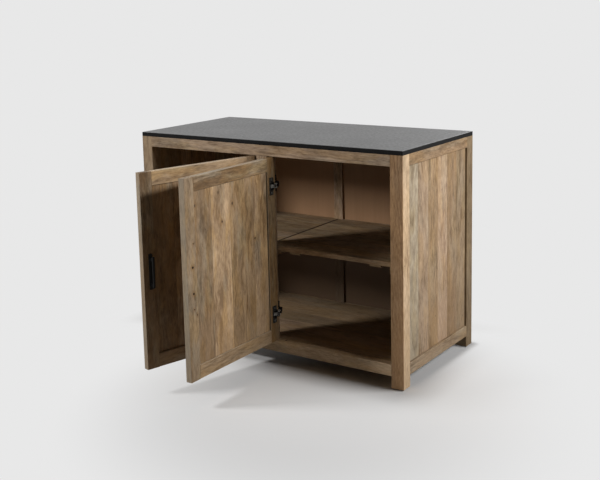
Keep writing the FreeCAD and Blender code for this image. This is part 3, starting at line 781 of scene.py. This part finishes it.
def metal(name, base, rubbed, least_rough, metallic, grain=240.0, gleam=0.5):
    """Plated or blackened metal with fine scratches and rubbed spots."""
    material, tree, shader, place = finish(name, Metallic=metallic, Specular_IOR_Level=gleam)
    scratch = noise(tree, place, (grain * 6, grain * 6, grain), detail=3.0, rough=0.6)
    spots = ramp(tree, noise(tree, place, grain, detail=4.0, rough=0.65), 0.5, 0.7)
    colour = laid(tree, base, rubbed, spots, 0.5)
    rough = calc(tree, "MULTIPLY_ADD", scratch, 0.25, least_rough)
    fill(tree, shader, {"Base Color": colour, "Roughness": rough,
                        "Normal": bump(tree, scratch, scratch_deep, 0.5)})
    return material


def black_plastic():
    """The moulded plastic of the glides, scuffed all over."""
    material, tree, shader, place = finish("glide plastic", Specular_IOR_Level=0.4)
    scuff = noise(tree, place, 300.0, detail=4.0, rough=0.65)
    colour = blend(tree, scuff, srgb(20, 20, 20), srgb(52, 50, 48))
    rough = calc(tree, "MULTIPLY_ADD", scuff, 0.3, 0.4)
    fill(tree, shader, {"Base Color": colour, "Roughness": rough,
                        "Normal": bump(tree, scuff, scuff_deep, 0.4)})
    return material


slot_materials = {
    "plywood": brown_board(),
    "stone": black_stone(),
    "black_iron": metal("black iron", base=srgb(6, 6, 5), rubbed=srgb(26, 25, 23), least_rough=0.5,
                        metallic=0.1, gleam=0.25),
    "dark_steel": metal("dark steel", base=srgb(46, 45, 44), rubbed=srgb(92, 90, 88), least_rough=0.32,
                        metallic=0.7, grain=400.0),
    "bright_steel": metal("nickel plate", base=srgb(126, 125, 121), rubbed=srgb(178, 177, 173),
                          least_rough=0.28, metallic=0.7, grain=400.0),
    "glide_plastic": black_plastic(),
}
oiled_bolt = metal("oiled bolt", base=srgb(16, 10, 6), rubbed=srgb(30, 21, 14), least_rough=0.6,
                   metallic=0.0, gleam=0.1)
# The cups' coarse pale spots are partly rubbing and partly painted glints
dull_cup_painted_glints = metal("dulled nickel", base=srgb(70, 68, 64), rubbed=srgb(150, 148, 142), least_rough=0.3,
                 metallic=0.8, grain=110.0)
# The link is polished nickel; its pale, little-metallic colour also stands in for a reflection: a painted
# gleam
link_with_painted_gleam = metal("polished link", base=srgb(206, 205, 201), rubbed=srgb(232, 231, 228),
                    least_rough=0.2, metallic=0.4, grain=400.0)
other_metal = {"handle_bolts": oiled_bolt, "hinge_links": link_with_painted_gleam, "hinge_cups": dull_cup_painted_glints}


# Panels of glued planks

def planed_bar():
    """A bar along Z from the origin, with rounded arrises and rings along its length."""
    inputs = {"Width": "Float", "Thickness": "Float", "Length": "Float", "Ease": "Float", "Rings": "Int"}
    tree, given = new_group("planed bar", "GeometryNodeTree", inputs, {"Geometry": "Geometry"})
    section = add(tree, "GeometryNodeCurvePrimitiveQuadrilateral",
                  {"Width": given["Width"], "Height": given["Thickness"]}).outputs[0]
    section = add(tree, "GeometryNodeFilletCurve",
                  {"Curve": section, "Count": 3, "Radius": given["Ease"]}, mode="POLY").outputs[0]
    end = join(tree, 0.0, 0.0, given["Length"])
    line = add(tree, "GeometryNodeCurvePrimitiveLine", {"End": end}).outputs[0]
    line = add(tree, "GeometryNodeResampleCurve", {"Curve": line, "Count": given["Rings"]}).outputs[0]
    bar = add(tree, "GeometryNodeCurveToMesh",
              {"Curve": line, "Profile Curve": section, "Fill Caps": True}).outputs[0]
    add(tree, "NodeGroupOutput", {"Geometry": bar})
    return tree


bar_tree = planed_bar()


def plank_row(tree, given, joints, span):
    """A plank on each joint but the last, stretched to the next joint."""
    high = calc(tree, "MULTIPLY_ADD", given["Shrink"], -2.0, given["Height"])
    plank = place_group(tree, bar_tree, {
        "Width": template_wide, "Thickness": given["Thickness"], "Length": high, "Ease": given["Ease"],
        "Rings": plank_rings})[0]
    deep = calc(tree, "MULTIPLY", given["Thickness"], 0.5)
    corner = join(tree, template_wide / 2, deep, given["Shrink"])
    plank = add(tree, "GeometryNodeTransform", {"Geometry": plank, "Translation": corner}).outputs[0]
    stretch = calc(tree, "DIVIDE", calc(tree, "SUBTRACT", span, given["Gap"]), template_wide)
    row = add(tree, "GeometryNodeInstanceOnPoints", {
        "Points": joints, "Selection": calc(tree, "GREATER_THAN", span, 0.0), "Instance": plank,
        "Scale": join(tree, stretch, 1.0, 1.0)}).outputs[0]
    return add(tree, "GeometryNodeRealizeInstances", {"Geometry": row}).outputs[0]


def uneven(tree, given, here, row):
    """The row with each plank set a little forward or back, and a little wavy."""
    number = add(tree, "GeometryNodeInputNamedAttribute", {"Name": "plank"}, data_type="FLOAT").outputs[0]
    shift = calc(tree, "MULTIPLY_ADD", number, wander_draw_step, given["Seed"])
    along = vector(tree, "ADD", here, join(tree, shift, 0.0, shift))
    wavy = noise(tree, along, (11.0, 0.0, 3.0), detail=3.0)
    level = noise(tree, join(tree, shift, 0.0, 0.0), 1.7)
    lean = calc(tree, "SUBTRACT", calc(tree, "ADD", wavy, level), 1.0)
    offset = join(tree, 0.0, calc(tree, "MULTIPLY", lean, given["Wander"]), 0.0)
    return add(tree, "GeometryNodeSetPosition", {"Geometry": row, "Offset": offset}).outputs[0]


def tongue_board(tree, given):
    """The thin board in the panel's middle, whose edges are the tongues."""
    board = add(tree, "GeometryNodeMeshCube", {"Size": given["Tongue"]}).outputs[0]
    whole = join(tree, given["Width"], given["Thickness"], given["Height"])
    centre = vector(tree, "MULTIPLY", whole, (0.5, 0.5, 0.5))
    return add(tree, "GeometryNodeTransform", {"Geometry": board, "Translation": centre}).outputs[0]


def glued_planks():
    """Upright planks between the points of a line, each a little uneven, on a thin tongue board."""
    inputs = {"Joints": "Geometry", "Width": "Float", "Height": "Float", "Thickness": "Float",
              "Shrink": "Float", "Gap": "Float", "Ease": "Float", "Wander": "Float", "Tongue": "Vector",
              "Seed": "Int", "Material": "Material"}
    tree, given = new_group("glued planks", "GeometryNodeTree", inputs, {"Geometry": "Geometry"})
    tree.is_modifier = True
    index = add(tree, "GeometryNodeInputIndex").outputs[0]
    here = add(tree, "GeometryNodeInputPosition").outputs[0]
    following = add(tree, "GeometryNodeFieldAtIndex",
                    {"Index": calc(tree, "ADD", index, 1.0), "Value": here},
                    data_type="FLOAT_VECTOR", domain="POINT").outputs[0]
    left = split(tree, here)[0]
    span = calc(tree, "SUBTRACT", split(tree, following)[0], left)
    middle = calc(tree, "SUBTRACT", calc(tree, "MULTIPLY_ADD", span, 0.5, left),
                  calc(tree, "MULTIPLY", given["Width"], 0.5))
    joints = given["Joints"]
    for label, value in (("plank", index), ("plank_middle", middle)):
        joints = add(tree, "GeometryNodeStoreNamedAttribute",
                     {"Geometry": joints, "Name": label, "Value": value},
                     data_type="FLOAT", domain="POINT").outputs[0]
    row = uneven(tree, given, here, plank_row(tree, given, joints, span))
    whole = add(tree, "GeometryNodeJoinGeometry")
    tree.links.new(tongue_board(tree, given), whole.inputs[0])
    tree.links.new(row, whole.inputs[0])
    dressed = add(tree, "GeometryNodeSetMaterial",
                  {"Geometry": whole.outputs[0], "Material": given["Material"]}).outputs[0]
    add(tree, "NodeGroupOutput", {"Geometry": dressed})
    return tree


planks_tree = glued_planks()


def grown_piece(name, mesh, tree, values):
    """A piece with the plain mesh that a geometry tree makes from a starting mesh."""
    piece = bpy.data.objects.new(name, mesh)
    bpy.context.scene.collection.objects.link(piece)
    modifier = piece.modifiers.new(tree.name, "NODES")
    modifier.node_group = tree
    keys = {item.name: item.identifier for item in tree.interface.items_tree if item.in_out == "INPUT"}
    for label, value in values.items():
        modifier[keys[label]] = value
    depsgraph = bpy.context.evaluated_depsgraph_get()
    result = bpy.data.meshes.new_from_object(piece.evaluated_get(depsgraph))
    piece.modifiers.remove(modifier)
    piece.data = result
    return piece


def plank_panel(node_name, placed, size, widths, tones, body, seed, shrinks):
    """A panel of glued planks in place of the plain one.

    Placed carries its lower outer corner into the frame. Size is its width and height between the tongues.
    """
    width, high = size
    half = Vector((width, panel_thick, high)) / 2
    to_grain = Matrix.Translation(-half) @ placed.inverted()
    material = timber(node_name, to_grain, half, tones, planks=None, piece=seed * panel_draw_step,
                      groove=tongue_thick / 2)
    scale = (width - sum(shrinks)) / sum(widths)
    places = [shrinks[0] + scale * sum(widths[:count]) for count in range(len(widths) + 1)]
    line = bpy.data.meshes.new(node_name + "_joints")
    line.from_pydata([(place, 0.0, 0.0) for place in places], [], [])
    tongue = (width + 2 * tongue_long, tongue_thick, high + 2 * tongue_long)
    piece = grown_piece(node_name + "_planks", line, planks_tree, {
        "Width": width, "Height": high, "Thickness": panel_thick, "Shrink": panel_shrink,
        "Gap": plank_gap, "Ease": plank_ease, "Wander": plank_wander, "Tongue": tongue, "Seed": seed,
        "Material": material})
    piece.data.transform(placed)
    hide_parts(node_name)
    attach(piece, body)


def side_panel(side, sign, seed):
    """The panel of one side of the carcass, seen from outside."""
    low, high = box_in(nodes["side_panel_" + side], Matrix.Identity(4))
    size = high - low
    outside = high.x if sign > 0 else low.x
    near = low.y if sign > 0 else high.y
    corner = Vector((outside, near + sign * tongue_long, low.z + tongue_long))
    placed = Matrix.Translation(corner) @ Matrix.Rotation(sign * math.pi / 2, 4, "Z")
    plank_panel("side_panel_" + side, placed, (size.y - 2 * tongue_long, size.z - 2 * tongue_long),
                side_plank_widths, side_tones, "carcass", seed, (panel_shrink, panel_shrink))


def door_panel(side, sign, seed):
    """The panel of one door, measured on the shut door; the left door is the right one's mirror."""
    turn = shut_turn(side)
    low, high = box_in(nodes["door_panel_" + side], turn)
    size = high - low
    corner = Vector((low.x + tongue_long, low.y, low.z + tongue_long))
    placed = turn.inverted() @ Matrix.Translation(corner)
    plank_panel("door_panel_" + side, placed, (size.x - 2 * tongue_long, size.z - 2 * tongue_long),
                door_plank_widths[::sign], door_tones[side][::sign], side + "_door", seed,
                (hinge_side_shrink, panel_shrink)[::sign])


for count, side in enumerate(SIDES):
    sign = 1 if side == "right" else -1
    side_panel(side, sign, side_seed + count)
    door_panel(side, sign, door_seed + count)


# Looks of the carried-over pieces

def piece_timber(number, name, node):
    """The timber of one carried-over piece; the doors' pieces are measured on the shut door."""
    door = name.startswith("door_")
    turn = shut_turn(name.rsplit("_", 1)[-1]) if door else Matrix.Identity(4)
    boards = level_boards.get(name, 1)
    to_grain, half = grain_frame(node, turn, along=0 if boards > 1 else None)
    tones = [piece_tones.get(name, common_tones[number % len(common_tones)])]
    if boards > 1:
        tones = board_tones
    return timber(name, to_grain, half, tones, planks=boards, piece=number * piece_draw_step,
                  edge=limed_and_lit_share if door else 0.0)


def dress_nodes():
    """Gives every carried-over piece its material."""
    slots = {entry["node"]: entry["material_slot"] for entry in frame["record"]["subparts"]}
    for number, (name, node) in enumerate(sorted(nodes.items())):
        kind = name.rsplit("_", 1)[0]
        if kind in other_metal:
            material = other_metal[kind]
        elif slots[name] in slot_materials:
            material = slot_materials[slots[name]]
        else:
            material = piece_timber(number, name, node)
        node.data.materials.clear()
        node.data.materials.append(material)


dress_nodes()


# Floor, light and camera

def beside_footprint(tree, place):
    """How far a point of the floor lies outside the cabinet's footprint."""
    half = (worktop_corner.x, worktop_corner.y, 0.0)
    outside = vector(tree, "SUBTRACT", vector(tree, "ABSOLUTE", place), half)
    outside = vector(tree, "MAXIMUM", outside, (0.0, 0.0, 0.0))
    return measure(tree, "LENGTH", vector(tree, "MULTIPLY", outside, (1.0, 1.0, 0.0)))


def behind_footprint(tree, place):
    """How far a point lies behind the footprint's diagonal from left front to right back."""
    square = Vector((-worktop_corner.y, worktop_corner.x, 0.0)).normalized()
    return measure(tree, "DOT_PRODUCT", place, square)


def pale_paper():
    """Seamless paper: lit and shadowed round the cabinet, an even pale grey further off.

    Light that bounces off its far parts onto the cabinet is held back, as black flags do in a studio.
    """
    material, tree = empty_material("pale paper")
    place = add(tree, "ShaderNodeTexCoord").outputs["Object"]
    away = measure(tree, "DISTANCE", place, lit_centre)
    beside = beside_footprint(tree, place)
    behind = ramp(tree, behind_footprint(tree, place), shadow_behind, shadow_behind_full)
    close = calc(tree, "MULTIPLY", ramp(tree, beside, shadow_reach, shadow_full), behind)
    shaded = calc(tree, "MAXIMUM", close, ramp(tree, beside, under_reach, 0.0, high=under_share))
    open_floor = calc(tree, "SUBTRACT", 1.0, shaded)
    far = calc(tree, "MULTIPLY", ramp(tree, away, lit_reach, glow_reach), open_floor)
    glow = add(tree, "ShaderNodeEmission", {"Color": paper_glow}).outputs[0]
    matt = add(tree, "ShaderNodeBsdfDiffuse", {"Color": paper}).outputs[0]
    seen = add(tree, "ShaderNodeMixShader", {0: far, 1: matt, 2: glow}).outputs[0]
    held = blend(tree, ramp(tree, away, bounce_start, bounce_full), bounce_near, bounce_far)
    flag = add(tree, "ShaderNodeBsdfDiffuse", {"Color": held}).outputs[0]
    bounced = add(tree, "ShaderNodeLightPath").outputs["Is Diffuse Ray"]
    both = add(tree, "ShaderNodeMixShader", {0: bounced, 1: seen, 2: flag}).outputs[0]
    add(tree, "ShaderNodeOutputMaterial", {"Surface": both})
    material.cycles.emission_sampling = "NONE"
    return material


def cove_profile():
    """The cove's section outwards from near its middle, as radius and rise."""
    profile = [(radius, 0.0) for radius in cove_flat_rings]
    for step in range(cove_steps + 1):
        angle = math.pi / 2 * step / cove_steps
        radius = cove_flat + cove_bend * math.sin(angle)
        profile.append((radius, cove_bend - cove_bend * math.cos(angle)))
    profile.append((cove_flat + cove_bend, cove_high))
    return profile


def studio_cove():
    """A pale floor that curves up into a wall all round."""
    angles = [2 * math.pi * turn / cove_turns for turn in range(cove_turns)]
    shape = bmesh.new()
    rings = []
    for radius, rise in cove_profile():
        ring = [(radius * math.cos(angle), radius * math.sin(angle), rise) for angle in angles]
        rings.append([shape.verts.new(point) for point in ring])
    hub = shape.verts.new((0.0, 0.0, 0.0))
    for turn in range(cove_turns):
        following = (turn + 1) % cove_turns
        shape.faces.new((hub, rings[0][turn], rings[0][following]))
        for inner, outer in zip(rings, rings[1:]):
            shape.faces.new((inner[turn], outer[turn], outer[following], inner[following]))
    for face in shape.faces:
        face.smooth = True
    mesh = bpy.data.meshes.new("studio_cove")
    shape.to_mesh(mesh)
    shape.free()
    cove = bpy.data.objects.new("studio_cove", mesh)
    bpy.context.scene.collection.objects.link(cove)
    mesh.materials.append(pale_paper())
    return cove


def shine_past_doors(holder):
    """Lets a light shine past the doors, so that they leave no shadow in it."""
    passed = bpy.data.collections.new(holder.name + "_passed")
    for piece in bpy.data.objects:
        if piece.name.startswith(("door_", "handle_", "hinge_")):
            passed.objects.link(piece)
    for entry in passed.collection_objects:
        entry.light_linking.link_state = "EXCLUDE"
    holder.light_linking.blocker_collection = passed


def lamp(name, azimuth, elevation, distance, size, power, high=None, on_floor=False, past_doors=False):
    """A soft light on the cabinet, or on the floor alone; azimuth 0 is straight in front."""
    turn, rise = math.radians(azimuth), math.radians(elevation)
    level = math.cos(rise)
    away = Vector((math.sin(turn) * level, -math.cos(turn) * level, math.sin(rise)))
    light = bpy.data.lights.new(name, "AREA")
    light.energy = power
    light.shape = "RECTANGLE"
    light.size = size
    light.size_y = high or size
    holder = bpy.data.objects.new(name, light)
    holder.location = light_target + away * distance
    holder.rotation_euler = away.to_track_quat("Z", "Y").to_euler()
    holder.visible_camera = False
    bpy.context.scene.collection.objects.link(holder)
    lit = bpy.data.collections.new(name + "_lit")
    lit.objects.link(cove)
    lit.collection_objects[0].light_linking.link_state = "INCLUDE" if on_floor else "EXCLUDE"
    holder.light_linking.receiver_collection = lit
    if past_doors:
        shine_past_doors(holder)


def camera():
    """The camera of the photograph."""
    lens = bpy.data.cameras.new("camera")
    lens.sensor_fit = "HORIZONTAL"
    lens.lens = focal_pixels * lens.sensor_width / picture_wide
    lens.shift_y = (axis_row - picture_high / 2) / picture_wide
    holder = bpy.data.objects.new("camera", lens)
    aim = (Matrix.Rotation(math.radians(camera_azimuth), 4, "Z")
           @ Matrix.Rotation(math.radians(90 - camera_pitch), 4, "X")
           @ Matrix.Rotation(math.radians(camera_roll), 4, "Z"))
    holder.matrix_world = Matrix.Translation(camera_place) @ aim
    bpy.context.scene.collection.objects.link(holder)
    bpy.context.scene.camera = holder


cove = studio_cove()

# Lights on the cabinet, then lights on the floor; of those, only the key leaves the doors' shadow
lamp("left_key", azimuth=-34, elevation=26.6, distance=3.7, size=0.6, high=0.8, power=74)
lamp("right_soft", azimuth=95, elevation=28, distance=3.4, size=1.8, high=0.35, power=102)
lamp("back_fill", azimuth=172, elevation=30, distance=3.6, size=2.0, power=50)
lamp("left_fill", azimuth=-100, elevation=30, distance=3.4, size=1.8, power=45)
lamp("floor_key", azimuth=-44, elevation=37, distance=3.7, size=0.6, power=45, on_floor=True)
lamp("floor_right", azimuth=105, elevation=28, distance=3.4, size=1.8, high=0.35, power=60,
     on_floor=True, past_doors=True)
lamp("floor_top", azimuth=104, elevation=85.6, distance=4.06, size=0.6, power=69,
     on_floor=True, past_doors=True)
world = bpy.data.worlds.new("studio")
world.use_nodes = True
surround = world.node_tree.nodes["Background"].inputs
surround["Color"].default_value = (1.0, 1.0, 1.0, 1.0)
surround["Strength"].default_value = 0.022
bpy.context.scene.world = world
bpy.context.scene.view_settings.view_transform = "Standard"
camera()
